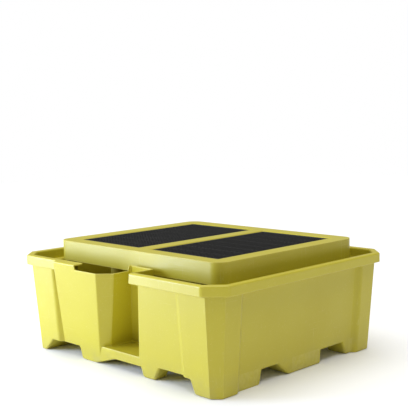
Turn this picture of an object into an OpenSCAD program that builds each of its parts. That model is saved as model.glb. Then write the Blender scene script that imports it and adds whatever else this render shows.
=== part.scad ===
// Spill containment pallet: a moulded sump tub with an overflow pocket and a drum-tap recess
// in its front, a deck platform on nine pipe legs, two lift-out gratings and a drain.
// Front is -Y, +Z is up, and the origin is on the floor under the middle of the tub.

/* [Tub] */
// Width of the tub over its rim, left to right
tub_w = 1850; // [1830:5:1870]
// Depth of the tub over its rim, without the pocket
tub_d = 1630; // [1610:5:1650]
// Height of the tub's rim above the floor
rim_z = 645; // [640:1:655]
// Height of the turned-down rim
rim_h = 62; // [50:1:70]
// How far the rim stands out past the corner posts
rim_out = 37; // [32:1:42]
// How far each wall leans in between the rim and the floor
draft = 45; // [35:1:50]
// Wall thickness of the moulding
wall = 10; // [8:1:11]
// Length of each leg of a corner's chamfer on the rim
rim_chamfer = 110; // [100:1:115]
// How deep the wall panels are set back between the corner posts
panel_in = 28; // [22:1:30]
// Width of a front or back panel
panel_w = 1180; // [1160:5:1200]
// Width of a side panel
panel_side_w = 1126; // [1110:2:1140]

/* [Fork ways] */
// Height of the fork ways under the sump
fork_h = 85; // [80:1:90]
// Height of the lower way under the recess
way_h = 60; // [55:1:70]

/* [Pocket and recess] */
// How far the pocket's front stands in front of the tub's middle at the rim
pocket_y = 850; // [840:1:860]
// The same at the floor
pocket_foot_y = 694; // [688:1:705]
// Left edge of the pocket's mouth
mouth_x = -255; // [-270:1:-240]
// Height of the pocket's dipped edge
mouth_z = 612; // [605:1:625]
// Right wall of the recess at the rim
recess_x = 230; // [225:1:235]
// The same at the floor
recess_foot_x = 165; // [155:1:170]
// Distance of the recess's back from the tub's middle at the rim
recess_y = 640; // [636:1:645]
// The same at the floor
recess_foot_y = 470; // [465:1:500]
// Height of the recess's floor
recess_z = 120; // [115:1:130]

/* [Deck platform] */
// Height of the deck above the floor
deck_z = 730; // [725:1:735]
// Width of the platform
deck_w = 1502; // [1490:2:1506]
// Depth of the platform
deck_d = 1272; // [1260:2:1276]
// Middle of the platform, towards the back
deck_y = 36; // [32:1:38]
// Radius of the platform's corners
deck_r = 80; // [70:1:90]
// Width of the platform's border and of its middle rib
deck_rim = 110; // [108:1:112]
// Depth of the platform's skirt
skirt_h = 130; // [115:5:135]

/* [Gratings] */
// Thickness of a grating
grate_t = 45; // [40:1:48]
// How far the gratings lie below the border
grate_drop = 5; // [3:1:6]
// Gap around each grating
grate_gap = 3; // [2:0.5:4]
// Slots across a grating
slots_x = 18; // [12:1:20]
// Slots along a grating
slots_y = 8; // [6:1:9]

/* [Legs] */
// Outer radius of a leg pipe
leg_r = 38; // [34:1:38]
// How far the outer legs' axes lie inside the platform's edges
leg_in = 60; // [58:1:61]
// Place of the leg beside the recess
leg_recess_x = -215; // [-225:1:-212]
// Wall of a leg pipe
leg_wall = 6; // [4:1:8]
// Radius of a leg's foot flange
leg_flange_r = 62; // [55:1:65]

/* [Drain] */
// Place of the drain along the back
drain_x = 300; // [280:5:320]
// Height of the drain's axis
drain_z = 160; // [155:1:170]

/* [Hidden] */
$fn = 64;

yellow = "#d8cf5e";
black = "#26272b";
grey = "#8f9499";

rest_gap = 0.3;    // between bodies that lift off each other
slip = 0.2;        // between pieces of one body
eps = 1;           // how far a cut runs past a face

// ---------- shapes that repeat ----------

// Solid between two outlines with the same number of points
module loft(lower, z_low, upper, z_high) {
  n = len(lower);
  points = concat([for (p = lower) [p[0], p[1], z_low]], [for (p = upper) [p[0], p[1], z_high]]);
  sides = [for (i = [0:n - 1]) [i, n + i, n + (i + 1) % n, (i + 1) % n]];
  polyhedron(points, concat([[for (i = [0:n - 1]) i]], sides, [[for (i = [n - 1:-1:0]) n + i]]));
}

// Rectangle with chamfered corners
function chamfered(hx, hy, c) =
  [[-hx, -hy + c], [-hx + c, -hy], [hx - c, -hy], [hx, -hy + c],
   [hx, hy - c], [hx - c, hy], [-hx + c, hy], [-hx, hy - c]];

function box_outline(x, y) = [[x[0], y[0]], [x[1], y[0]], [x[1], y[1]], [x[0], y[1]]];

module rounded_plate(x, y, r, z) {
  translate([0, 0, z[0]]) linear_extrude(z[1] - z[0]) {
    translate([x[0] + r, y[0]]) square([x[1] - x[0] - 2 * r, y[1] - y[0]]);
    translate([x[0], y[0] + r]) square([x[1] - x[0], y[1] - y[0] - 2 * r]);
    for (cx = [x[0] + r, x[1] - r], cy = [y[0] + r, y[1] - r]) translate([cx, cy]) circle(r);
  }
}

module block(x, y, z) {
  translate([x[0], y[0], z[0]]) cube([x[1] - x[0], y[1] - y[0], z[1] - z[0]]);
}

// ---------- tub ----------

shelf_z = rim_z - rim_h;          // underside of the rim
floor_z = fork_h + wall;          // top of the sump's floor
post_chamfer = 80;                // corner posts, under the rim
foot_chamfer = 52;                // corner posts, at the floor
step_in = panel_in;               // the panels' edges slope at 45 degrees
far = 1200;                       // past the tub's outside
past = 100;                       // how far a cut's sloping edges run on
bend = tan(22.5);                 // shift of a 45 degree corner per mm of inset
chamfer_inset = 2 - sqrt(2);      // shortening of a chamfer's legs per mm of inset

function wall_x(z) = tub_w / 2 - rim_out - draft * (1 - z / shelf_z);
function wall_y(z) = tub_d / 2 - rim_out - draft * (1 - z / shelf_z);
function corner(z) = foot_chamfer + (post_chamfer - foot_chamfer) * z / shelf_z;
function pocket_front(z) = -pocket_foot_y - (pocket_y - pocket_foot_y) * z / rim_z;
function pocket_side(z) = -169 + 0.327 * z;
function pocket_corner(z) = 44 + 0.055 * z;
function recess_back(z) = -recess_foot_y - (recess_y - recess_foot_y) * z / rim_z;
function recess_right(z) = recess_foot_x + (recess_x - recess_foot_x) * z / rim_z;

// Posts and walls between heights z, set in by t
module core(z, t) {
  loft(chamfered(wall_x(z[0]) - t, wall_y(z[0]) - t, corner(z[0]) - t * chamfer_inset), z[0],
       chamfered(wall_x(z[1]) - t, wall_y(z[1]) - t, corner(z[1]) - t * chamfer_inset), z[1]);
}

// Space in front of a panel that lies depth from the tub's middle
function panel_outline(depth, half, t) =
  let (h = half - step_in + t * bend)
  [[-h - past, -depth + t - past], [h + past, -depth + t - past], [h, -depth + t], [-h, -depth + t]];

module panel_spaces(z, t) {
  for (turn = [0, 180]) rotate(turn)
    loft(panel_outline(wall_y(z[0]) - panel_in, panel_w / 2, t), z[0],
         panel_outline(wall_y(z[1]) - panel_in, panel_w / 2, t), z[1]);
  for (turn = [90, -90]) rotate(turn)
    loft(panel_outline(wall_x(z[0]) - panel_in, panel_side_w / 2, t), z[0],
         panel_outline(wall_x(z[1]) - panel_in, panel_side_w / 2, t), z[1]);
}

// Pocket at height z, set in by t and running inwards past the front panel by inner.
// With to_recess its front runs on to where the recess is cut.
function pocket_outline(z, to_recess, t, inner) =
  let (panel = wall_y(z) - panel_in, out = -panel - pocket_front(z), run = out + inner - t,
       left = -panel_w / 2 + step_in + out + t * bend,
       right = (to_recess ? pocket_side(z) + 30 : pocket_side(z) - pocket_corner(z)) - t * bend)
  [[left, pocket_front(z) + t], [right, pocket_front(z) + t],
   [right + run, -panel + inner], [left - run, -panel + inner]];

module pocket(z, to_recess, t, inner) {
  loft(pocket_outline(z[0], to_recess, t, inner), z[0],
       pocket_outline(z[1], to_recess, t, inner), z[1]);
}

// Recess beside the pocket, with walls t thick around it
function recess_outline(z, t) =
  let (side = pocket_side(z) - t, run = pocket_corner(z) + 200,
       turn = pocket_front(z) + pocket_corner(z) + t * bend,
       right = recess_right(z) + t, back = recess_back(z) + t)
  [[side, turn], [side - run, turn - run], [side - run, -far], [right, -far],
   [right, back], [side, back]];

module recess_cut(z_low, t) {
  loft(recess_outline(z_low, t), z_low, recess_outline(rim_z + 2 * eps, t), rim_z + 2 * eps);
}

// Feet: rows of [low at floor, high at floor, low at fork height, high at fork height]
foot_cols = [[-far, -750, -far, -660], [-380, -250, -400, -150], [212, 306, 184, 357],
             [675, far, 640, far]];
foot_rows = [[-far, -350, -far, -337], [-85, 219, -195, 219], [487, far, 440, far]];
pocket_foot = [-380, -250, -400, 38];
centre_foot = [-300, 30, -350, 40];
inner_row_front = [-far, -615, -far, -600];
way_y = -690;                     // back of the low beam over the way under the recess
inner_row_back = [645, far, 630, far];
// Each foot is [column, row]; the two middle columns reach only a little way in
feet = concat(
  [for (c = [0, 3], r = [0:2]) [foot_cols[c], foot_rows[r]]],
  [for (c = [pocket_foot, foot_cols[2]]) [c, inner_row_front]],
  [for (c = [centre_foot, foot_cols[2]]) [c, foot_rows[1]]],
  [for (c = [1, 2]) [foot_cols[c], inner_row_back]]);

module foot(f) {
  loft(box_outline([f[0][0], f[0][1]], [f[1][0], f[1][1]]), -eps,
       box_outline([f[0][2], f[0][3]], [f[1][2], f[1][3]]), fork_h + eps);
}

// Wells in the sump's floor that hollow out the feet round the edge, clear of the legs
well_x = 775;
well_front = 640;
well_back = 665;
wells = concat(
  [for (s = [-1, 1], r = [[-700, -370], [-60, 200], [510, 700]])
    [s > 0 ? [well_x, 820] : [-820, -well_x], r]],
  [for (c = [[-365, -265], [225, 293]], r = [[-695, -well_front], [well_back, 695]]) [c, r]],
  [for (c = [[-285, -125], [225, 293]]) [c, [-60, 200]]]);

module well(w) {
  d = 6;
  loft(box_outline([w[0][0] + d, w[0][1] - d], [w[1][0] + d, w[1][1] - d]), wall,
       box_outline(w[0], w[1]), floor_z + eps);
}

// Drain boss
boss_r = 60;
boss_in = 695;
boss_out = 728;
bore_r = 30.5;

module along_y(y, r) {
  translate([drain_x, y[1], drain_z]) rotate([90, 0, 0]) cylinder(r = r, h = y[1] - y[0]);
}

module tub_body() {
  difference() {
    union() {
      difference() {
        core([0, shelf_z], 0);
        panel_spaces([-eps, shelf_z + eps], 0);
      }
      pocket([0, recess_z], false, 0, 20);
      pocket([recess_z, rim_z], true, 0, 20);
      collar = chamfered(tub_w / 2 - rim_out + 6, tub_d / 2 - rim_out + 6, post_chamfer + 15);
      loft(collar, shelf_z - wall, collar, rim_z);
      rim = chamfered(tub_w / 2, tub_d / 2, rim_chamfer);
      groove = chamfered(tub_w / 2 - wall, tub_d / 2 - wall, rim_chamfer - wall * chamfer_inset);
      difference() {
        loft(rim, shelf_z, rim, rim_z);
        loft(groove, shelf_z - eps, groove, rim_z - wall);
      }
    }
    recess_cut(recess_z, 0);
    block([mouth_x, recess_x - 20], [-far, -recess_y - wall], [mouth_z, rim_z + eps]);
    difference() {
      block([-far, far], [-far, far], [-eps, fork_h]);
      for (f = feet) foot(f);
      block([pocket_foot[0], foot_cols[2][1]], [-far, way_y], [way_h, fork_h + eps]);
    }
  }
}

module tub_hollow() {
  reach = 60;
  difference() {
    union() {
      difference() {
        core([floor_z, shelf_z + eps], wall);
        panel_spaces([floor_z - eps, shelf_z], wall);
      }
      inner = chamfered(tub_w / 2 - rim_out - 6, tub_d / 2 - rim_out - 6, post_chamfer + 8);
      loft(inner, shelf_z, inner, rim_z + eps);
      pocket([floor_z, recess_z - wall], false, wall, reach);
      pocket([recess_z - wall, rim_z - wall], true, wall, reach);
      intersection() {
        pocket([shelf_z, rim_z + eps], true, wall, reach);
        block([mouth_x, recess_x], [-far, 0], [0, rim_z + 2 * eps]);
      }
    }
    recess_cut(floor_z - eps, wall);
  }
  for (w = wells) well(w);
}

module sump_tub() {
  color(yellow) difference() {
    union() {
      difference() {
        tub_body();
        tub_hollow();
      }
      along_y([boss_in, boss_out], boss_r);
    }
    along_y([boss_in - eps, boss_out + eps], bore_r);
  }
}

// ---------- deck platform ----------

px = [-deck_w / 2, deck_w / 2];
py = [deck_y - deck_d / 2, deck_y + deck_d / 2];
skirt_z = deck_z - skirt_h;
plate_t = 10;
rib = [-deck_rim / 2, deck_rim / 2];
windows = [[px[0] + deck_rim, rib[0]], [rib[1], px[1] - deck_rim]];
win_y = [py[0] + deck_rim, py[1] - deck_rim];
ledge_w = 25;
ledge_t = 20;
grate_z = deck_z - grate_drop - grate_t;
bearer_h = 50;
bearer_w = 50;
bearer_y = [deck_y - 170, deck_y + 170];
saddle_t = 15;
leg_x = [px[0] + leg_in, 0, px[1] - leg_in];
leg_y = [py[0] + leg_in, deck_y, py[1] - leg_in];
socket_t = 5;
socket_h = 80;
fit = 0.05;        // radial clearance of a leg in its socket

function grow(r, t) = [r[0] - t, r[1] + t];

// The front row's middle leg stands clear of the recess
function leg_place(i, j) = i == 1 && j == 0 ? leg_recess_x : leg_x[i];

module deck_platform() {
  color(yellow) difference() {
    union() {
      difference() {
        rounded_plate(px, py, deck_r, [skirt_z, deck_z]);
        difference() {
          rounded_plate(grow(px, -plate_t), grow(py, -plate_t), deck_r - plate_t,
                        [skirt_z - eps, deck_z - plate_t]);
          for (w = windows) block(grow(w, plate_t), grow(win_y, plate_t), [skirt_z - 2 * eps, deck_z]);
        }
        for (w = windows) {
          block(w, win_y, [grate_z, deck_z + eps]);
          block(grow(w, -ledge_w), grow(win_y, -ledge_w), [skirt_z - eps, grate_z + eps]);
          block(w, win_y, [skirt_z - eps, grate_z - ledge_t]);
        }
      }
      for (w = windows, y = bearer_y, x = [[w[0], w[0] + ledge_w], [w[1] - ledge_w, w[1]]])
        block(x, [y - bearer_w / 2 - plate_t, y + bearer_w / 2 + plate_t],
              [grate_z - bearer_h - saddle_t, grate_z]);
      for (i = [0:2], j = [0:2]) translate([leg_place(i, j), leg_y[j], deck_z - plate_t - socket_h])
        cylinder(r = leg_r + fit + socket_t, h = socket_h + plate_t / 2);
    }
    for (i = [0:2], j = [0:2]) translate([leg_place(i, j), leg_y[j], deck_z - plate_t - socket_h - eps])
      cylinder(r = leg_r + fit, h = socket_h + eps);
    for (w = windows, y = bearer_y)
      block(grow(w, -slip), [y - bearer_w / 2 - slip, y + bearer_w / 2 + slip],
            [grate_z - bearer_h - slip, grate_z + eps]);
  }
}

module leg(i, j) {
  z = floor_z + rest_gap;
  color(yellow) translate([leg_place(i, j), leg_y[j], z]) difference() {
    union() {
      cylinder(r = leg_r, h = deck_z - plate_t - slip - z);
      cylinder(r = leg_flange_r, h = 10);
    }
    translate([0, 0, -eps]) cylinder(r = leg_r - leg_wall, h = deck_z);
  }
}

module bearer(side, i) {
  w = grow(windows[side], -1);
  y = bearer_y[i];
  t = 5;
  color(grey) difference() {
    block(w, [y - bearer_w / 2, y + bearer_w / 2], [grate_z - bearer_h, grate_z]);
    block(grow(w, eps), [y - bearer_w / 2 + t, y + bearer_w / 2 - t],
          [grate_z - bearer_h + t, grate_z - t]);
  }
}

// ---------- gratings ----------

module grating(side) {
  x = grow(windows[side], -grate_gap);
  y = grow(win_y, -grate_gap);
  border = 22;
  bar = 11;
  bridge = 16;
  step_x = (x[1] - x[0] - 2 * border + bar) / slots_x;
  step_y = (y[1] - y[0] - 2 * border + bridge) / slots_y;
  color(black) translate([0, 0, grate_z + rest_gap]) linear_extrude(grate_t - rest_gap) difference() {
    translate([x[0], y[0]]) square([x[1] - x[0], y[1] - y[0]]);
    for (i = [0:slots_x - 1], j = [0:slots_y - 1])
      translate([x[0] + border + i * step_x, y[0] + border + j * step_y])
        square([step_x - bar, step_y - bridge]);
  }
}

// ---------- drain ----------

seal_t = 3;
flange_r = 50;
flange_t = 12;
shank_r = 30;
thread_r = 20;
nut_t = 18;
flange_y = boss_out + seal_t;
head_y = flange_y + flange_t + seal_t;

module ring_y(y, r, bore) {
  difference() {
    along_y(y, r);
    along_y(grow(y, eps), bore);
  }
}

module drain_gasket() {
  color(black) ring_y([boss_out, flange_y], flange_r - 4, bore_r);
}

module drain_fitting() {
  color(black) difference() {
    union() {
      along_y([flange_y, flange_y + flange_t], flange_r);
      along_y([boss_in - nut_t - 8, flange_y + eps], shank_r);
    }
    along_y([boss_in - nut_t - 9, flange_y + flange_t + eps], thread_r);
  }
}

module drain_lock_nut() {
  color(black) difference() {
    translate([drain_x, boss_in, drain_z]) rotate([90, 0, 0]) cylinder(r = 48, h = nut_t, $fn = 6);
    along_y([boss_in - nut_t - eps, boss_in + eps], shank_r + fit);
  }
}

module plug_seal() {
  color(black) ring_y([head_y - seal_t + 0.1, head_y - 0.1], 28, thread_r + 0.4);
}

module drain_plug() {
  plug_in = 26;
  color(black) difference() {
    union() {
      along_y([head_y - seal_t - flange_t - plug_in / 2, head_y + eps], thread_r - fit);
      translate([drain_x, head_y + 14, drain_z]) rotate([90, 0, 0]) cylinder(r = 34, h = 14, $fn = 6);
    }
    along_y([head_y + 4, head_y + 14 + eps], 14);
  }
}

sump_tub();
deck_platform();
grating(0);  // grating_left
grating(1);  // grating_right
bearer(0, 0);  // bearer_left_front
bearer(0, 1);  // bearer_left_back
bearer(1, 0);  // bearer_right_front
bearer(1, 1);  // bearer_right_back
leg(0, 0);  // leg_front_left
leg(1, 0);  // leg_front_middle
leg(2, 0);  // leg_front_right
leg(0, 1);  // leg_middle_left
leg(1, 1);  // leg_middle
leg(2, 1);  // leg_middle_right
leg(0, 2);  // leg_back_left
leg(1, 2);  // leg_back_middle
leg(2, 2);  // leg_back_right
drain_gasket();
drain_fitting();
drain_lock_nut();
plug_seal();
drain_plug();
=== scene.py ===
"""Spill containment pallet: the finish of a moulded sump tub, its deck platform, gratings, legs and drain.

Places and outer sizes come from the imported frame, in metres. The widths, walls and radii that a
node's box doesn't give are constants or properties here. Front is -Y and +Z is up.
"""

import math

import bmesh
import bpy
import numpy as np
from bpy.props import FloatProperty, FloatVectorProperty, IntProperty, PointerProperty
from mathutils import Matrix, Vector
from mathutils.bvhtree import BVHTree


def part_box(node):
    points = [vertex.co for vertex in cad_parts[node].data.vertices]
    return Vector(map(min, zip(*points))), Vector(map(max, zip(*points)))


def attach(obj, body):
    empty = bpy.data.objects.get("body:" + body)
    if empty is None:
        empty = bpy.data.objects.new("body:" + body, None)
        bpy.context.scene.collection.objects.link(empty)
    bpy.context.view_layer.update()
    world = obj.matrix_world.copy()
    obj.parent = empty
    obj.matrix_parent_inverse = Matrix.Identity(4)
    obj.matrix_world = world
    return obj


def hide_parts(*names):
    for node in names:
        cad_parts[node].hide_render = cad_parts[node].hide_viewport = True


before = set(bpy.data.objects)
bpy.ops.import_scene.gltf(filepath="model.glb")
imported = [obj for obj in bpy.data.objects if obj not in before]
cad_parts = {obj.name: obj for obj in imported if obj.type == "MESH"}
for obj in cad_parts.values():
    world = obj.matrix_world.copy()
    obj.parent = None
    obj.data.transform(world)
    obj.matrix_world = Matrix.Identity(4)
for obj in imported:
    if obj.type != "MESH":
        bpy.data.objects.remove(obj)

bl_info = {
    "name": "Spill Containment Pallet",
    "version": (1, 0, 0),
    "blender": (4, 5, 0),
    "location": "View3D > Sidebar > Pallet",
    "description": "Moulded spill pallet with lift-out gratings, pipe legs and a drain",
    "category": "Add Mesh",
}

MM = 0.001
TURN = 2 * math.pi


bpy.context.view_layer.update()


# ---------- what a user may change ----------


class PalletSizes(bpy.types.PropertyGroup):
    """Roundings and small dimensions that the frame leaves open."""

    tub_round: FloatProperty(
        name="Tub rounding",
        description="Largest radius on the tub's edges",
        default=13 * MM, min=2 * MM, max=20 * MM, subtype="DISTANCE", unit="LENGTH",
    )
    deck_round: FloatProperty(
        name="Deck rounding",
        description="Largest radius on the platform's edges",
        default=14 * MM, min=2 * MM, max=20 * MM, subtype="DISTANCE", unit="LENGTH",
    )
    edge_share: FloatProperty(
        name="Edge share",
        description="Share of a narrow face that one edge's rounding may take",
        default=0.36, min=0.1, max=0.48, subtype="FACTOR",
    )
    round_steps: IntProperty(
        name="Rounding steps",
        description="Facets across a rounded edge",
        default=4, min=1, max=8,
    )
    bar_width: FloatProperty(
        name="Bar width",
        description="Width of a grating's bearing bars",
        default=11 * MM, min=6 * MM, max=14 * MM, subtype="DISTANCE", unit="LENGTH",
    )
    tie_drop: FloatProperty(
        name="Tie drop",
        description="How far the cross ties lie below the tops of the bars",
        default=4 * MM, min=0.0, max=12 * MM, subtype="DISTANCE", unit="LENGTH",
    )
    tooth_pitch: FloatProperty(
        name="Tooth pitch",
        description="Distance between the anti-slip teeth along a bar",
        default=24 * MM, min=10 * MM, max=60 * MM, subtype="DISTANCE", unit="LENGTH",
    )


class PalletColours(bpy.types.PropertyGroup):
    """Base colours of the plastics and of the bearers' composite."""

    yellow: FloatVectorProperty(
        name="Yellow",
        description="Moulded polyethylene of the tub and the platform",
        default=(0.53, 0.46, 0.025), size=3, min=0.0, max=1.0, subtype="COLOR",
    )
    black: FloatVectorProperty(
        name="Black",
        description="Moulded plastic of the gratings and the drain",
        default=(0.011, 0.011, 0.01), size=3, min=0.0, max=1.0, subtype="COLOR",
    )
    pipe: FloatVectorProperty(
        name="Pipe",
        description="Extruded polyethylene of the legs",
        default=(0.42, 0.36, 0.025), size=3, min=0.0, max=1.0, subtype="COLOR",
    )
    fibre: FloatVectorProperty(
        name="Fibre",
        description="Composite of the bearers under the gratings",
        default=(0.42, 0.40, 0.33), size=3, min=0.0, max=1.0, subtype="COLOR",
    )


class PalletStudio(bpy.types.PropertyGroup):
    """Camera and lights."""

    camera_place: FloatVectorProperty(
        name="Camera place",
        description="Where the camera stands",
        default=(3.98443, -3.93547, 1.53569), size=3, subtype="TRANSLATION", unit="LENGTH",
    )
    heading: FloatProperty(
        name="Heading",
        description="Turn of the view from +Y towards -X",
        default=math.radians(45.086), subtype="ANGLE", unit="ROTATION",
    )
    pitch: FloatProperty(
        name="Pitch",
        description="How far the camera looks down",
        default=math.radians(6.181), subtype="ANGLE", unit="ROTATION",
    )
    roll: FloatProperty(
        name="Roll",
        description="Turn of the camera about its own line of sight",
        default=math.radians(-1.066), subtype="ANGLE", unit="ROTATION",
    )
    lens: FloatProperty(
        name="Lens",
        description="Focal length on a 36 mm wide sensor",
        default=75.6, min=20.0, max=200.0, unit="CAMERA",
    )
    key_power: FloatProperty(
        name="Key light",
        description="Power of the large soft light on the left",
        default=310.0, min=0.0, unit="POWER",
    )
    sun_strength: FloatProperty(
        name="Ceiling light",
        description="Strength of the even light from straight above",
        default=2.4, min=0.0, max=10.0,
    )
    fill_strength: FloatProperty(
        name="Fill",
        description="Strength of the pale surroundings",
        default=0.36, min=0.0, max=3.0,
    )


# ---------- surfaces ----------


def ring_quads(rows, columns, wrap_rows=False):
    """Quads of a grid whose columns close in a ring, and whose rows close too where wrap_rows."""
    row = np.arange(rows if wrap_rows else rows - 1)[:, None]
    column = np.arange(columns)[None, :]
    after = (column + 1) % columns
    below = (row + 1) % rows
    quads = [row * columns + column, row * columns + after, below * columns + after, below * columns + column]
    return np.stack(quads, axis=-1).reshape(-1, 4)


def arc(centre, radius, start, stop, steps):
    """Points on a circle: centre + radius * (cos, sin) of angles from start to stop in quarter turns."""
    angle = np.linspace(start, stop, steps + 1) * TURN / 4
    return np.array(centre) + radius * np.stack([np.cos(angle), np.sin(angle)], axis=-1)


def rounded_box(low, high, radius, steps=3):
    """Outline of a rectangle with an arc of that radius at each corner, anticlockwise."""
    (x0, y0), (x1, y1) = low, high
    r = radius
    return np.concatenate([
        arc((x1 - r, y0 + r), r, -1, 0, steps),
        arc((x1 - r, y1 - r), r, 0, 1, steps),
        arc((x0 + r, y1 - r), r, 1, 2, steps),
        arc((x0 + r, y0 + r), r, 2, 3, steps),
    ])


class Shell:
    """Collects grids of points and their faces into one mesh."""

    def __init__(self):
        self.points = []
        self.faces = []
        self.count = 0

    def add(self, grid, wrap_rows=False, caps=False):
        """A grid (rows, columns, 3) whose columns close in a ring, with flat ends where caps."""
        rows, columns = grid.shape[:2]
        self.faces += (ring_quads(rows, columns, wrap_rows) + self.count).tolist()
        if caps:
            first = self.count + np.arange(columns)
            self.faces.append(first[::-1].tolist())
            self.faces.append((first + (rows - 1) * columns).tolist())
        self.points.append(grid.reshape(-1, 3))
        self.count += rows * columns

    def finish(self, name, body, slot, material, *nodes):
        """Makes the object, turns its faces outwards, and lets it ride on body in place of the nodes."""
        mesh = bpy.data.meshes.new(name)
        mesh.from_pydata(np.concatenate(self.points).tolist(), [], self.faces)
        shape = bmesh.new()
        shape.from_mesh(mesh)
        bmesh.ops.recalc_face_normals(shape, faces=shape.faces)
        shape.to_mesh(mesh)
        shape.free()
        piece = bpy.data.objects.new(name, mesh)
        bpy.context.scene.collection.objects.link(piece)
        settle(piece, body, slot, material, *nodes)
        return piece


def settle(piece, body, slot, material, *nodes):
    """Smooth shading that keeps flat faces flat, material, body and the nodes it stands for. The slot is not
    used.
    """
    mesh = piece.data
    mesh.materials.clear()
    mesh.materials.append(material)
    mesh.polygons.foreach_set("use_smooth", np.ones(len(mesh.polygons), bool))
    weighted = piece.modifiers.new("Even shading", "WEIGHTED_NORMAL")
    weighted.keep_sharp = True
    weighted.weight = 80
    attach(piece, body)
    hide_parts(*nodes)


def turned(profile, centre, axis, segments=64):
    """Revolves a closed outline of (radius, distance along the axis) about the axis through centre."""
    angle = np.linspace(0, TURN, segments, endpoint=False)[:, None]
    radius = profile[None, :, 0]
    along = np.broadcast_to(profile[None, :, 1], (segments, len(profile)))
    across = [radius * np.cos(angle), radius * np.sin(angle)]
    order = {"Z": [across[0], across[1], along], "Y": [across[0], along, across[1]]}[axis]
    return np.stack(order, axis=-1) + np.array(centre)


# ---------- rounding of a moulded piece ----------

ARC_FACET = 28 * MM      # faces narrower than this are facets of a round corner and stay smooth
CREASE = math.radians(22)
FLAT = math.radians(1.0)


def room_beside(tree, edge, face, limit):
    """How far a face runs on from an edge.

    Rays just under and just over the face find where the solid ends or rises.
    """
    start, stop = (v.co for v in edge.verts)
    normal = face.normal
    inward = normal.cross(stop - start).normalized()
    if inward.dot(face.calc_center_median() - (start + stop) / 2) < 0:
        loop = next(item for item in edge.link_loops if item.face == face)
        inward = normal.cross(loop.link_loop_next.vert.co - loop.vert.co).normalized()
    skin = 0.4 * MM
    found = limit
    for share in (0.2, 0.5, 0.8):
        point = start.lerp(stop, share) + inward * skin
        for side in (-skin, skin):
            hit = tree.ray_cast(point + normal * side, inward, limit)
            if hit[3] is not None:
                found = min(found, hit[3] + skin)
    return found


def face_width(face):
    """Area over the longest edge."""
    return face.calc_area() / max(edge.calc_length() for edge in face.edges)


def edge_weights(shape, radius, share):
    """Weight of each crease's rounding: 1 where the full radius has room, less beside narrow faces."""
    layer = shape.edges.layers.float.new("bevel_weight_edge")
    tree = BVHTree.FromBMesh(shape)
    creases = [e for e in shape.edges if e.is_manifold and e.calc_face_angle(0) > CREASE]
    sharp = set(creases)
    for edge in shape.edges:
        if edge not in sharp and edge.is_manifold and edge.calc_face_angle(0) > FLAT:
            edge.smooth = min(face_width(face) for face in edge.link_faces) < ARC_FACET
    reach = radius / share
    for edge in creases:
        room = min(room_beside(tree, edge, face, reach) for face in edge.link_faces)
        for vert in edge.verts:
            for other in vert.link_edges:
                if other is edge or other not in sharp:
                    continue
                line = (edge.other_vert(vert).co - vert.co).normalized()
                beside = (other.other_vert(vert).co - vert.co).normalized()
                room = min(room, other.calc_length() * max(line.cross(beside).length, 0.3))
        edge[layer] = max(min(room * share / radius, 1.0), 0.02)


def rounded_copy(node, name, radius, body, slot, material):
    """A merged copy of a node with all its creases rounded as far as their faces have room."""
    sizes = bpy.context.scene.pallet_sizes
    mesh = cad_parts[node].data.copy()
    mesh.name = name
    shape = bmesh.new()
    shape.from_mesh(mesh)
    bmesh.ops.remove_doubles(shape, verts=shape.verts, dist=0.02 * MM)
    bmesh.ops.dissolve_limit(
        shape, angle_limit=math.radians(1.5), use_dissolve_boundaries=False,
        verts=shape.verts, edges=shape.edges,
    )
    bmesh.ops.connect_verts_concave(shape, faces=shape.faces[:])
    edge_weights(shape, radius, sizes.edge_share)
    shape.to_mesh(mesh)
    shape.free()
    piece = bpy.data.objects.new(name, mesh)
    bpy.context.scene.collection.objects.link(piece)
    bevel = piece.modifiers.new("Moulded edges", "BEVEL")
    bevel.limit_method = "WEIGHT"
    bevel.width = radius
    bevel.segments = sizes.round_steps
    bevel.use_clamp_overlap = False
    bevel.miter_outer = "MITER_SHARP"
    settle(piece, body, slot, material, node)
    return piece


# ---------- materials ----------


def make_group(name, inputs, outputs):
    """An empty shader node group with these inputs (label, kind, default) and outputs (label, kind)."""
    tree = bpy.data.node_groups.new(name, "ShaderNodeTree")
    for label, kind, default in inputs:
        socket = tree.interface.new_socket(label, in_out="INPUT", socket_type=kind)
        socket.default_value = default
    for label, kind in outputs:
        tree.interface.new_socket(label, in_out="OUTPUT", socket_type=kind)
    return tree, tree.nodes.new("NodeGroupInput"), tree.nodes.new("NodeGroupOutput")


def add_noise(tree, vector, scale, detail=3.0, roughness=0.5):
    """Noise on Object coordinates; scale is in waves per metre."""
    noise = tree.nodes.new("ShaderNodeTexNoise")
    noise.inputs["Scale"].default_value = scale
    noise.inputs["Detail"].default_value = detail
    noise.inputs["Roughness"].default_value = roughness
    tree.links.new(vector, noise.inputs["Vector"])
    return noise.outputs["Fac"]


def add_range(tree, value, low, high, out_low=0.0, out_high=1.0):
    """Value stretched from low..high to out_low..out_high and clamped."""
    node = tree.nodes.new("ShaderNodeMapRange")
    node.inputs["From Min"].default_value = low
    node.inputs["From Max"].default_value = high
    node.inputs["To Min"].default_value = out_low
    node.inputs["To Max"].default_value = out_high
    tree.links.new(value, node.inputs["Value"])
    return node.outputs["Result"]


def add_math(tree, operation, first, second):
    """A Math node; second is a socket or a number."""
    node = tree.nodes.new("ShaderNodeMath")
    node.operation = operation
    node.use_clamp = operation in {"MULTIPLY", "ADD"}
    tree.links.new(first, node.inputs[0])
    if isinstance(second, (int, float)):
        node.inputs[1].default_value = second
    else:
        tree.links.new(second, node.inputs[1])
    return node.outputs["Value"]


def add_mix(tree, factor, first, second):
    """A colour Mix node; first and second are sockets or colours."""
    node = tree.nodes.new("ShaderNodeMix")
    node.data_type = "RGBA"
    tree.links.new(factor, node.inputs["Factor"])
    for value, socket in ((first, node.inputs[6]), (second, node.inputs[7])):
        if isinstance(value, bpy.types.NodeSocket):
            tree.links.new(value, socket)
        else:
            socket.default_value = (*value, 1.0)
    return node.outputs[2]


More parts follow.
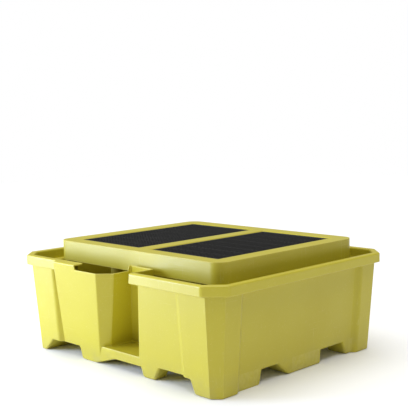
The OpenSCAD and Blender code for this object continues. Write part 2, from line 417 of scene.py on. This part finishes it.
def object_coordinates(tree):
    """Place on the object, in metres."""
    return tree.nodes.new("ShaderNodeTexCoord").outputs["Object"]


def edge_wear_group():
    """Mask of worn convex edges: where the solid is thin when looked at from inside, broken up by noise."""
    tree, given, result = make_group(
        "Edge wear",
        [("Reach", "NodeSocketFloat", 8 * MM), ("Patchiness", "NodeSocketFloat", 38.0)],
        [("Mask", "NodeSocketFloat")],
    )
    inside = tree.nodes.new("ShaderNodeAmbientOcclusion")
    inside.inside = True
    inside.only_local = True
    inside.samples = 6
    tree.links.new(given.outputs["Reach"], inside.inputs["Distance"])
    thin = add_range(tree, inside.outputs["AO"], 0.97, 0.72)
    noise = tree.nodes.new("ShaderNodeTexNoise")
    noise.inputs["Detail"].default_value = 4.0
    tree.links.new(object_coordinates(tree), noise.inputs["Vector"])
    tree.links.new(given.outputs["Patchiness"], noise.inputs["Scale"])
    patches = add_range(tree, noise.outputs["Fac"], 0.35, 0.65, 0.25, 1.0)
    tree.links.new(add_math(tree, "MULTIPLY", thin, patches), result.inputs["Mask"])
    return tree


def mottle_group():
    """Uneven colour of a cooled moulding: slow clouds round 0.5, and fine specks here and there."""
    tree, given, result = make_group(
        "Mottle",
        [("Strength", "NodeSocketFloat", 1.0)],
        [("Clouds", "NodeSocketFloat"), ("Specks", "NodeSocketFloat")],
    )
    where = object_coordinates(tree)
    clouds = add_range(tree, add_noise(tree, where, 2.6, 3.0), 0.3, 0.7)
    specks = add_range(tree, add_noise(tree, where, 90.0, 2.0), 0.62, 0.74)
    tree.links.new(add_math(tree, "MULTIPLY", clouds, given.outputs["Strength"]), result.inputs["Clouds"])
    tree.links.new(add_math(tree, "MULTIPLY", specks, given.outputs["Strength"]), result.inputs["Specks"])
    return tree


def scuff_group():
    """Fine scratches: stretched noise across two directions, kept to thin lines and to a few patches."""
    tree, given, result = make_group(
        "Scuffs",
        [("Amount", "NodeSocketFloat", 1.0)],
        [("Mask", "NodeSocketFloat")],
    )
    where = object_coordinates(tree)
    lines = None
    for turn, stretch in ((0.4, (3.0, 3.0, 160.0)), (-0.7, (150.0, 150.0, 4.0))):
        mapping = tree.nodes.new("ShaderNodeMapping")
        mapping.inputs["Rotation"].default_value = (turn, turn / 2, turn)
        mapping.inputs["Scale"].default_value = stretch
        tree.links.new(where, mapping.inputs["Vector"])
        line = add_range(tree, add_noise(tree, mapping.outputs["Vector"], 1.0, 2.0), 0.66, 0.72)
        lines = line if lines is None else add_math(tree, "MAXIMUM", lines, line)
    patches = add_range(tree, add_noise(tree, where, 4.5, 2.0), 0.5, 0.62)
    shown = add_math(tree, "MULTIPLY", lines, patches)
    tree.links.new(add_math(tree, "MULTIPLY", shown, given.outputs["Amount"]), result.inputs["Mask"])
    return tree


def skin_group():
    """Height of a moulded skin: orange peel over a slow ripple."""
    tree, given, result = make_group(
        "Moulded skin",
        [("Peel", "NodeSocketFloat", 260.0), ("Ripple", "NodeSocketFloat", 7.0)],
        [("Height", "NodeSocketFloat")],
    )
    where = object_coordinates(tree)
    heights = []
    for label, detail in (("Peel", 2.0), ("Ripple", 1.0)):
        noise = tree.nodes.new("ShaderNodeTexNoise")
        noise.inputs["Detail"].default_value = detail
        tree.links.new(where, noise.inputs["Vector"])
        tree.links.new(given.outputs[label], noise.inputs["Scale"])
        heights.append(noise.outputs["Fac"])
    fine = add_range(tree, heights[0], 0.2, 0.8, 0.0, 0.12)
    slow = add_range(tree, heights[1], 0.2, 0.8, 0.0, 0.88)
    tree.links.new(add_math(tree, "ADD", fine, slow), result.inputs["Height"])
    return tree


def grime_group():
    """Dust and splashes near the floor: fades out with height, broken up by noise."""
    tree, given, result = make_group(
        "Floor grime",
        [("Height", "NodeSocketFloat", 0.16)],
        [("Mask", "NodeSocketFloat")],
    )
    where = object_coordinates(tree)
    split = tree.nodes.new("ShaderNodeSeparateXYZ")
    tree.links.new(where, split.inputs["Vector"])
    level = tree.nodes.new("ShaderNodeMath")
    level.operation = "DIVIDE"
    tree.links.new(split.outputs["Z"], level.inputs[0])
    tree.links.new(given.outputs["Height"], level.inputs[1])
    fade = add_range(tree, level.outputs["Value"], 1.0, 0.0)
    noise = add_range(tree, add_noise(tree, where, 9.0, 5.0, 0.65), 0.35, 0.7)
    tree.links.new(add_math(tree, "MULTIPLY", fade, noise), result.inputs["Mask"])
    return tree


GROUP_MAKERS = {
    "Edge wear": edge_wear_group,
    "Mottle": mottle_group,
    "Scuffs": scuff_group,
    "Moulded skin": skin_group,
    "Floor grime": grime_group,
}


def use_group(tree, name, **values):
    """Places a shared group, made on first use, with its own values."""
    node = tree.nodes.new("ShaderNodeGroup")
    node.node_tree = bpy.data.node_groups.get(name) or GROUP_MAKERS[name]()
    for label, value in values.items():
        node.inputs[label].default_value = value
    return node


FLECK_SHARE = 0.12       # how far each effect takes the colour towards the worn one
WEAR_SHARE = 0.2
SCRATCH_SHARE = 0.4
WORN_DULLING = 0.15      # what wear adds to the roughness
SHINE_SPREAD = 0.05      # how far the clouds take the roughness either way
DRIED_MUD = (0.28, 0.25, 0.17)


def moulded_plastic(name, colour, cloud, worn, rough, peel, bump, grime=0.0, scuffs=0.5, shine_level=0.5):
    """Moulded plastic: clouded colour, pale worn edges, scuffs, floor grime and an orange peel skin."""
    found = bpy.data.materials.get(name)
    if found:
        return found
    material = bpy.data.materials.new(name)
    material.use_nodes = True
    material.diffuse_color = (*colour, 1.0)
    tree = material.node_tree
    shader = tree.nodes["Principled BSDF"]
    shader.inputs["Specular IOR Level"].default_value = shine_level
    mottle = use_group(tree, "Mottle")
    wear = use_group(tree, "Edge wear").outputs["Mask"]
    scratches = use_group(tree, "Scuffs", Amount=scuffs).outputs["Mask"]
    base = add_mix(tree, mottle.outputs["Clouds"], colour, cloud)
    flecks = add_math(tree, "MULTIPLY", mottle.outputs["Specks"], FLECK_SHARE)
    base = add_mix(tree, flecks, base, worn)
    base = add_mix(tree, add_math(tree, "MULTIPLY", wear, WEAR_SHARE), base, worn)
    base = add_mix(tree, add_math(tree, "MULTIPLY", scratches, SCRATCH_SHARE), base, worn)
    if grime:
        dirt = use_group(tree, "Floor grime").outputs["Mask"]
        base = add_mix(tree, add_math(tree, "MULTIPLY", dirt, grime), base, DRIED_MUD)
    tree.links.new(base, shader.inputs["Base Color"])
    rougher = add_math(tree, "MAXIMUM", wear, scratches)
    clouds = mottle.outputs["Clouds"]
    shine = add_range(tree, clouds, 0.0, 1.0, rough - SHINE_SPREAD, rough + SHINE_SPREAD)
    dulled = add_math(tree, "MULTIPLY", rougher, WORN_DULLING)
    tree.links.new(add_math(tree, "ADD", shine, dulled), shader.inputs["Roughness"])
    skin = use_group(tree, "Moulded skin", Peel=peel)
    relief = tree.nodes.new("ShaderNodeBump")
    relief.inputs["Strength"].default_value = 0.5
    relief.inputs["Distance"].default_value = bump
    tree.links.new(skin.outputs["Height"], relief.inputs["Height"])
    tree.links.new(relief.outputs["Normal"], shader.inputs["Normal"])
    return material


def yellow_plastic():
    colour = tuple(bpy.context.scene.pallet_colours.yellow)
    cloud = tuple(np.array(colour) * (0.95, 0.93, 0.86))
    return moulded_plastic(
        "Yellow polyethylene", colour, cloud, (0.8, 0.73, 0.3), 0.4, 240.0, 2.2 * MM, grime=0.3)


def black_plastic():
    colour = tuple(bpy.context.scene.pallet_colours.black)
    return moulded_plastic(
        "Black grating plastic", colour, (0.018, 0.018, 0.017), (0.07, 0.07, 0.065), 0.55, 500.0, 0.8 * MM,
        shine_level=0.25)


def drain_plastic():
    colour = tuple(bpy.context.scene.pallet_colours.black)
    return moulded_plastic(
        "Black fitting plastic", colour, (0.022, 0.023, 0.026), (0.1, 0.1, 0.1), 0.34, 700.0, 0.4 * MM,
        scuffs=0.3)


def seal_rubber():
    return moulded_plastic(
        "Seal rubber", (0.02, 0.02, 0.02), (0.035, 0.033, 0.03), (0.09, 0.085, 0.08), 0.72, 900.0, 0.5 * MM,
        scuffs=0.2)


def leg_pipe():
    colour = tuple(bpy.context.scene.pallet_colours.pipe)
    cloud = tuple(np.array(colour) * (0.94, 0.92, 0.8))
    return moulded_plastic(
        "Yellow pipe", colour, cloud, (0.6, 0.55, 0.2), 0.36, 120.0, 0.5 * MM, grime=0.2)


def bearer_composite():
    """Pultruded glass fibre: long strands along X under a clear satin resin."""
    found = bpy.data.materials.get("Glass fibre composite")
    if found:
        return found
    colour = tuple(bpy.context.scene.pallet_colours.fibre)
    material = bpy.data.materials.new("Glass fibre composite")
    material.use_nodes = True
    tree = material.node_tree
    shader = tree.nodes["Principled BSDF"]
    mapping = tree.nodes.new("ShaderNodeMapping")
    mapping.inputs["Scale"].default_value = (6.0, 420.0, 420.0)
    tree.links.new(object_coordinates(tree), mapping.inputs["Vector"])
    strands = add_noise(tree, mapping.outputs["Vector"], 1.0, 4.0, 0.6)
    lines = add_range(tree, strands, 0.35, 0.7)
    wear = use_group(tree, "Edge wear").outputs["Mask"]
    base = add_mix(tree, lines, colour, tuple(np.array(colour) * 1.35))
    base = add_mix(tree, add_math(tree, "MULTIPLY", wear, 0.5), base, (0.6, 0.58, 0.5))
    tree.links.new(base, shader.inputs["Base Color"])
    tree.links.new(add_range(tree, strands, 0.2, 0.8, 0.32, 0.5), shader.inputs["Roughness"])
    relief = tree.nodes.new("ShaderNodeBump")
    relief.inputs["Strength"].default_value = 0.35
    relief.inputs["Distance"].default_value = 0.4 * MM
    tree.links.new(strands, relief.inputs["Height"])
    tree.links.new(relief.outputs["Normal"], shader.inputs["Normal"])
    return material


# ---------- operators, one for each kind of piece ----------


class PALLET_OT_tub(bpy.types.Operator):
    """Moulded sump tub with rounded edges"""

    bl_idname = "pallet.tub"
    bl_label = "Sump tub"

    def execute(self, context):
        radius = context.scene.pallet_sizes.tub_round
        rounded_copy("sump_tub", "tub_moulding", radius, "tub", "tub_plastic", yellow_plastic())
        return {"FINISHED"}


class PALLET_OT_deck(bpy.types.Operator):
    """Deck platform with rounded edges"""

    bl_idname = "pallet.deck"
    bl_label = "Deck platform"

    def execute(self, context):
        radius = context.scene.pallet_sizes.deck_round
        rounded_copy("deck_platform", "deck_moulding", radius, "platform", "deck_plastic", yellow_plastic())
        return {"FINISHED"}


GRATE_BORDER = 22 * MM
BARS = 17
TIES = 7
TIE_WIDTH = 16 * MM
TOOTH_DEPTH = 1.2 * MM
OVERLAP = 2 * MM         # how far bars and ties run into the border


def bar_grid(x, half, y, low, high, pitch):
    """A bearing bar along Y: a tapered section with a crowned top, notched down once every pitch.

    The section is narrower at its foot, and its crown's points lie at 0.93 to 1 of its height.
    Half of each pitch is a tooth at full height, and over the other half the crown is lower.
    """
    steps = 4
    count = max(int(round((y[1] - y[0]) / pitch)), 1)
    along = np.linspace(y[0], y[1], count * steps + 1)
    notch = np.where(np.arange(len(along)) % steps < steps // 2, 0.0, TOOTH_DEPTH)
    foot = half * 0.72
    side = np.array([[-foot, 0], [foot, 0], [half, 0.93], [half * 0.72, 0.985], [half * 0.3, 1.0],
                     [-half * 0.3, 1.0], [-half * 0.72, 0.985], [-half, 0.93]])
    across = np.broadcast_to(side[None, :, 0] + x, (len(along), len(side)))
    cut = np.where(side[None, :, 1] > 0.94, notch[:, None], 0.0)
    level = low + side[None, :, 1] * (high - low) - cut
    place = np.broadcast_to(along[:, None], across.shape)
    return np.stack([across, place, level], axis=-1)


class PALLET_OT_gratings(bpy.types.Operator):
    """Two lift-out gratings of crowned bars on cross ties in a rounded frame"""

    bl_idname = "pallet.gratings"
    bl_label = "Gratings"

    def build(self, side):
        sizes = bpy.context.scene.pallet_sizes
        node = "grating_" + side
        low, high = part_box(node)
        shell = Shell()
        shell.add(self.border(low, high), wrap_rows=True)
        x = (low.x + GRATE_BORDER, high.x - GRATE_BORDER)
        y = (low.y + GRATE_BORDER - OVERLAP, high.y - GRATE_BORDER + OVERLAP)
        pitch = (x[1] - x[0] + sizes.bar_width) / (BARS + 1)
        for i in range(BARS):
            centre = x[0] + (i + 1) * pitch - sizes.bar_width / 2
            shell.add(
                bar_grid(centre, sizes.bar_width / 2, y, low.z, high.z, sizes.tooth_pitch), caps=True)
        tie = TIE_WIDTH
        step = (high.y - low.y - 2 * GRATE_BORDER + tie) / (TIES + 1)
        outline = rounded_box((-tie / 2, low.z + 4 * MM), (tie / 2, high.z - sizes.tie_drop), 3 * MM, 2)
        ends = np.array([x[0] - OVERLAP, x[1] + OVERLAP])
        for j in range(TIES):
            centre = low.y + GRATE_BORDER + (j + 1) * step - tie / 2
            across = np.broadcast_to(outline[None, :, 0] + centre, (2, len(outline)))
            level = np.broadcast_to(outline[None, :, 1], across.shape)
            place = np.broadcast_to(ends[:, None], across.shape)
            shell.add(np.stack([place, across, level], axis=-1), caps=True)
        shell.finish("grating_bars_" + side, node, "grating_plastic", black_plastic(), node)

    def border(self, low, high):
        """Frame of the grating: a rounded section carried round a rectangle with rounded corners."""
        steps = 6
        radius = 6 * MM
        section = rounded_box((0.0, low.z), (GRATE_BORDER, high.z), 3 * MM, 3)
        inset = section[:, 0]
        grid = []
        for value in inset:
            path = rounded_box(
                (low.x + value, low.y + value), (high.x - value, high.y - value),
                max(radius - value, 1.5 * MM), steps)
            grid.append(path)
        ring = np.array(grid).transpose(1, 0, 2)
        level = np.broadcast_to(section[None, :, 1], ring.shape[:2])
        return np.concatenate([ring, level[:, :, None]], axis=2)

    def execute(self, context):
        for side in ("left", "right"):
            self.build(side)
        return {"FINISHED"}


BEARER_WALL = 5 * MM


class PALLET_OT_bearers(bpy.types.Operator):
    """Four composite box sections that carry the gratings"""

    bl_idname = "pallet.bearers"
    bl_label = "Bearers"

    def execute(self, context):
        wall = BEARER_WALL
        for name in sorted(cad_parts):
            if not name.startswith("bearer_"):
                continue
            low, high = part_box(name)
            outer = rounded_box((low.y, low.z), (high.y, high.z), 5 * MM, 4)
            inner = rounded_box((low.y + wall, low.z + wall), (high.y - wall, high.z - wall), 2 * MM, 4)
            lip = 0.6 * MM
            rows = [(inner, low.x + lip), (inner * 0.5 + outer * 0.5, low.x), (outer, low.x + lip),
                    (outer, high.x - lip), (inner * 0.5 + outer * 0.5, high.x), (inner, high.x - lip)]
            grid = np.stack(
                [np.column_stack([np.full(len(line), x), line]) for line, x in rows])
            shell = Shell()
            shell.add(grid, wrap_rows=True)
            shell.finish("beam_" + name[7:], "platform", "bearer_composite", bearer_composite(), name)
        return {"FINISHED"}


PIPE_RADIUS = 38 * MM
PIPE_WALL = 6 * MM
FLANGE_THICKNESS = 10 * MM


class PALLET_OT_legs(bpy.types.Operator):
    """Nine pipe legs, each with a flange welded round its foot"""

    bl_idname = "pallet.legs"
    bl_label = "Legs"

    def execute(self, context):
        for name in sorted(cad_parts):
            if not name.startswith("leg_"):
                continue
            low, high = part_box(name)
            flange = (high.x - low.x) / 2
            outer = PIPE_RADIUS
            inner = outer - PIPE_WALL
            r = 1.5 * MM
            weld = 7 * MM
            base = low.z + FLANGE_THICKNESS
            profile = np.concatenate([
                arc((flange - r, low.z + r), r, -1, 0, 2),
                arc((flange - r, base - r), r, 0, 1, 2),
                arc((outer + weld, base + weld), weld, -1, -2, 4),
                arc((outer - r, high.z - r), r, 0, 1, 2),
                arc((inner + r, high.z - r), r, 1, 2, 2),
                arc((inner + r, low.z + r), r, 2, 3, 2),
            ])
            centre = ((low.x + high.x) / 2, (low.y + high.y) / 2, 0.0)
            shell = Shell()
            shell.add(turned(profile, centre, "Z", 72), wrap_rows=True)
            shell.finish("pipe_" + name, "platform", "leg_pipe", leg_pipe(), name)
        return {"FINISHED"}


def hexagon_reach(angle, flat):
    """Distance from a hexagon's middle to its side: flat / cos of the angle to the nearest flat."""
    sector = TURN / 6
    away = np.mod(angle, sector) - sector / 2
    return flat / np.cos(away)


def hexagon_head(centre, corner, y, bore, depth, segments=96):
    """A hexagonal head along +Y with its corners turned down, and a round recess in its outer end.

    Each ring is the smaller of the hexagon and a circle, so the corners fade into the chamfer.
    """
    angle = np.linspace(0, TURN, segments, endpoint=False)
    side = hexagon_reach(angle, corner * math.cos(TURN / 12))
    rings = [
        (np.full(segments, 0.02 * bore), y[0]),
        (np.minimum(side, corner * 0.94), y[0]),
        (side, y[0] + 1.5 * MM),
        (side, y[1] - 3 * MM),
        (np.minimum(side, corner * 0.9), y[1] - 0.6 * MM),
        (np.minimum(side, corner * 0.84), y[1]),
        (np.full(segments, bore + 0.8 * MM), y[1]),
        (np.full(segments, bore), y[1] - 0.8 * MM),
        (np.full(segments, bore * 0.97), y[1] - depth),
        (np.full(segments, 0.02 * bore), y[1] - depth),
    ]
    rows = [np.stack([r * np.cos(angle), np.full(segments, place), r * np.sin(angle)], axis=-1)
            for r, place in rings]
    return np.stack(rows) + np.array([centre[0], 0.0, centre[2]])


def threaded(centre, radius, y, pitch, depth, segments=48, per_turn=8):
    """A screw thread along Y: the radius falls by depth with a wave of one turn in each pitch.

    The wave climbs +Y from +X towards +Z, which makes a left-handed thread.
    """
    turns = (y[1] - y[0]) / pitch
    rows = max(int(turns * per_turn), 4)
    place = np.linspace(y[0], y[1], rows)[:, None]
    angle = np.linspace(0, TURN, segments, endpoint=False)[None, :]
    wave = 0.5 - 0.5 * np.cos(TURN * (place - y[0]) / pitch - angle)
    fade = np.clip(np.minimum(place - y[0], y[1] - place) / (pitch * 0.8), 0, 1)
    reach = radius - depth * (1 - wave * fade)
    return np.stack([
        centre[0] + reach * np.cos(angle),
        np.broadcast_to(place, reach.shape),
        centre[2] + reach * np.sin(angle),
    ], axis=-1)


def washer(centre, inner, outer, y, edge):
    """A ring along Y with rounded edges."""
    profile = np.concatenate([
        arc((outer - edge, y[1] - edge), edge, 0, 1, 3),
        arc((inner + edge, y[1] - edge), edge, 1, 2, 3),
        arc((inner + edge, y[0] + edge), edge, 2, 3, 3),
        arc((outer - edge, y[0] + edge), edge, 3, 4, 3),
    ])
    return turned(profile, centre, "Y")


FITTING_SHANK = 30 * MM
FITTING_BORE = 20 * MM
CLEARANCE = 0.1 * MM
HEAD_HEIGHT = 14 * MM
HEAD_RECESS = 14 * MM
THREAD_PITCH = 4 * MM    # drawn finer than the 13 mm that the plug's joint moves in a turn
THREAD_DEPTH = 1.4 * MM


class PALLET_OT_drain(bpy.types.Operator):
    """Drain through the back wall: gasket, fitting, lock nut, and the plug with its seal"""

    bl_idname = "pallet.drain"
    bl_label = "Drain"

    def execute(self, context):
        low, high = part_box("drain_fitting")
        centre = ((low.x + high.x) / 2, 0.0, (low.z + high.z) / 2)
        flange = (high.x - low.x) / 2
        self.gasket(centre)
        self.fitting(centre, low, high, flange)
        self.lock_nut(centre)
        self.plug(centre)
        return {"FINISHED"}

    def gasket(self, centre):
        low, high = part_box("drain_gasket")
        shell = Shell()
        outer = (high.x - low.x) / 2
        ring = washer(centre, FITTING_SHANK + 6 * CLEARANCE, outer, (low.y, high.y), 0.7 * MM)
        shell.add(ring, wrap_rows=True)
        shell.finish("gasket_ring", "tub", "seal_rubber", seal_rubber(), "drain_gasket")

    def fitting(self, centre, low, high, flange):
        """A flanged tube: the flange's rounded disc and a plain shank in one closed outline."""
        shank = FITTING_SHANK
        bore = FITTING_BORE
        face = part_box("drain_gasket")[1].y
        r = 2.5 * MM
        profile = np.concatenate([
            arc((flange - r, high.y - r), r, 0, 1, 4),
            arc((bore + 1 * MM, high.y - 1 * MM), 1 * MM, 1, 2, 2),
            arc((bore + 1 * MM, low.y + 1 * MM), 1 * MM, 2, 3, 2),
            arc((shank - 2 * MM, low.y + 2 * MM), 2 * MM, 3, 4, 2),
            np.array([[shank, face]]),
            arc((flange - 1 * MM, face + 1 * MM), 1 * MM, -1, 0, 2),
        ])
        shell = Shell()
        shell.add(turned(profile, centre, "Y", 96), wrap_rows=True)
        shell.finish("outlet_fitting", "tub", "drain_plastic", drain_plastic(), "drain_fitting")

    def lock_nut(self, centre):
        """A hexagonal ring: each row runs round the hexagon, from the bore's end to its other end."""
        low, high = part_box("drain_lock_nut")
        segments = 96
        angle = np.linspace(0, TURN, segments, endpoint=False)
        corner = (high.x - low.x) / 2
        side = hexagon_reach(angle, corner * math.cos(TURN / 12))
        bore = FITTING_SHANK + 2 * CLEARANCE
        chamfer = 2 * MM
        rings = [
            (np.full(segments, bore), low.y + 1 * MM),
            (np.full(segments, bore + 1 * MM), low.y),
            (np.minimum(side, corner * 0.9), low.y),
            (side, low.y + chamfer),
            (side, high.y - chamfer),
            (np.minimum(side, corner * 0.9), high.y),
            (np.full(segments, bore + 1 * MM), high.y),
            (np.full(segments, bore), high.y - 1 * MM),
        ]
        rows = [np.stack([r * np.cos(angle), np.full(segments, y), r * np.sin(angle)], axis=-1)
                for r, y in rings]
        shell = Shell()
        shell.add(np.stack(rows) + np.array(centre), wrap_rows=True)
        shell.finish("lock_nut", "tub", "drain_plastic", drain_plastic(), "drain_lock_nut")

    def plug(self, centre):
        low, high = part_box("plug_seal")
        shell = Shell()
        outer = (high.x - low.x) / 2
        ring = washer(centre, FITTING_BORE + 4 * CLEARANCE, outer, (low.y, high.y), 0.8 * MM)
        shell.add(ring, wrap_rows=True)
        shell.finish("plug_seal_ring", "plug_seal", "seal_rubber", seal_rubber(), "plug_seal")
        low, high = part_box("drain_plug")
        head = high.y - HEAD_HEIGHT
        corner = (high.x - low.x) / 2
        stem = (low.y, head + 0.5 * MM)
        shell = Shell()
        shell.add(hexagon_head(centre, corner, (head, high.y), HEAD_RECESS, 10 * MM), caps=True)
        shell.add(threaded(centre, FITTING_BORE - CLEARANCE, stem, THREAD_PITCH, THREAD_DEPTH), caps=True)
        shell.finish("plug_body", "drain_plug", "drain_plastic", drain_plastic(), "drain_plug")


KEY_PLACE = (-3.6, -4.2, 1.3)
KEY_SIZE = 2.6
KEY_COLOUR = (0.8, 0.94, 1.3)      # a cool light
LIGHT_AIM = (0.0, 0.0, 0.35)
CEILING_SPREAD = math.radians(70)
FLOOR_HALF = 14.0


class PALLET_OT_stage(bpy.types.Operator):
    """Pale floor, soft studio light and the camera"""

    bl_idname = "pallet.stage"
    bl_label = "Stage"

    def execute(self, context):
        studio = context.scene.pallet_studio
        self.camera(context, studio)
        self.floor()
        self.lights(context, studio)
        return {"FINISHED"}

    def camera(self, context, studio):
        """Looks along the heading and down by the pitch, then turns by the roll."""
        heading, pitch, roll = studio.heading, studio.pitch, studio.roll
        forward = Vector((
            -math.sin(heading) * math.cos(pitch),
            math.cos(heading) * math.cos(pitch),
            -math.sin(pitch),
        ))
        level = Vector((math.cos(heading), math.sin(heading), 0.0))
        above = level.cross(forward)
        right = math.cos(roll) * level + math.sin(roll) * above
        up = -math.sin(roll) * level + math.cos(roll) * above
        turn = Matrix((right, up, -forward)).transposed().to_4x4()
        data = bpy.data.cameras.new("Camera")
        data.lens = studio.lens
        data.sensor_width = 36.0
        data.sensor_fit = "HORIZONTAL"
        data.clip_end = 60.0
        camera = bpy.data.objects.new("Camera", data)
        camera.matrix_world = Matrix.Translation(Vector(studio.camera_place)) @ turn
        context.scene.collection.objects.link(camera)
        context.scene.camera = camera

    def floor(self):
        """A flat square under the pallet."""
        half = FLOOR_HALF
        mesh = bpy.data.meshes.new("floor")
        mesh.from_pydata(
            [(-half, -half, 0), (half, -half, 0), (half, half, 0), (-half, half, 0)], [], [(0, 1, 2, 3)])
        material = bpy.data.materials.new("Pale floor")
        material.use_nodes = True
        tree = material.node_tree
        shader = tree.nodes["Principled BSDF"]
        clouds = add_noise(tree, object_coordinates(tree), 0.8, 3.0)
        paint = add_mix(tree, clouds, (0.95, 0.95, 0.955), (0.97, 0.97, 0.97))
        tree.links.new(paint, shader.inputs["Base Color"])
        shader.inputs["Roughness"].default_value = 0.75
        mesh.materials.append(material)
        floor = bpy.data.objects.new("floor", mesh)
        bpy.context.scene.collection.objects.link(floor)

    def lights(self, context, studio):
        """A large soft key on the left of the camera and an even ceiling, in dimmer surroundings.

        The camera itself sees the surroundings as plain white.
        """
        world = bpy.data.worlds.new("Studio")
        world.use_nodes = True
        tree = world.node_tree
        sky = tree.nodes["Background"]
        sky.inputs["Color"].default_value = (1.0, 1.0, 1.0, 1.0)
        seen = tree.nodes.new("ShaderNodeLightPath").outputs["Is Camera Ray"]
        strength = add_range(tree, seen, 0.0, 1.0, studio.fill_strength, 1.0)
        tree.links.new(strength, sky.inputs["Strength"])
        context.scene.world = world
        self.area("Key", KEY_PLACE, KEY_SIZE, studio.key_power, KEY_COLOUR)
        self.sun(studio.sun_strength)

    def sun(self, strength):
        """A very soft light from straight above, which keeps the far floor pale."""
        data = bpy.data.lights.new("Ceiling", "SUN")
        data.energy = strength
        data.angle = CEILING_SPREAD
        light = bpy.data.objects.new("Ceiling", data)
        light.location = (0.0, 0.0, 8.0)
        bpy.context.scene.collection.objects.link(light)

    def area(self, name, place, size, power, colour):
        """A square light of one colour that points at the middle of the pallet."""
        data = bpy.data.lights.new(name, "AREA")
        data.shape = "SQUARE"
        data.size = size
        data.energy = power
        data.color = colour
        light = bpy.data.objects.new(name, data)
        aim = Vector(LIGHT_AIM) - Vector(place)
        turn = aim.to_track_quat("-Z", "Y").to_matrix().to_4x4()
        light.matrix_world = Matrix.Translation(Vector(place)) @ turn
        bpy.context.scene.collection.objects.link(light)


class PALLET_PT_panel(bpy.types.Panel):
    """Lists the pieces and their sizes"""

    bl_idname = "PALLET_PT_panel"
    bl_label = "Spill pallet"
    bl_space_type = "VIEW_3D"
    bl_region_type = "UI"
    bl_category = "Pallet"

    def draw(self, context):
        layout = self.layout
        for operator in OPERATORS:
            layout.operator(operator.bl_idname)
        for group in (context.scene.pallet_sizes, context.scene.pallet_colours, context.scene.pallet_studio):
            box = layout.box()
            for name in group.__annotations__:
                box.prop(group, name)


OPERATORS = (
    PALLET_OT_stage,
    PALLET_OT_tub,
    PALLET_OT_deck,
    PALLET_OT_gratings,
    PALLET_OT_bearers,
    PALLET_OT_legs,
    PALLET_OT_drain,
)
PROPERTY_GROUPS = (PalletSizes, PalletColours, PalletStudio)


def register():
    for item in (*PROPERTY_GROUPS, *OPERATORS, PALLET_PT_panel):
        bpy.utils.register_class(item)
    bpy.types.Scene.pallet_sizes = PointerProperty(type=PalletSizes)
    bpy.types.Scene.pallet_colours = PointerProperty(type=PalletColours)
    bpy.types.Scene.pallet_studio = PointerProperty(type=PalletStudio)


def unregister():
    del bpy.types.Scene.pallet_sizes
    del bpy.types.Scene.pallet_colours
    del bpy.types.Scene.pallet_studio
    for item in (PALLET_PT_panel, *reversed(OPERATORS), *PROPERTY_GROUPS):
        bpy.utils.unregister_class(item)


def main():
    register()
    bpy.context.scene.view_settings.view_transform = "Standard"
    bpy.ops.pallet.stage()
    bpy.ops.pallet.tub()
    bpy.ops.pallet.deck()
    bpy.ops.pallet.gratings()
    bpy.ops.pallet.bearers()
    bpy.ops.pallet.legs()
    bpy.ops.pallet.drain()


if __name__ == "__main__":
    main()
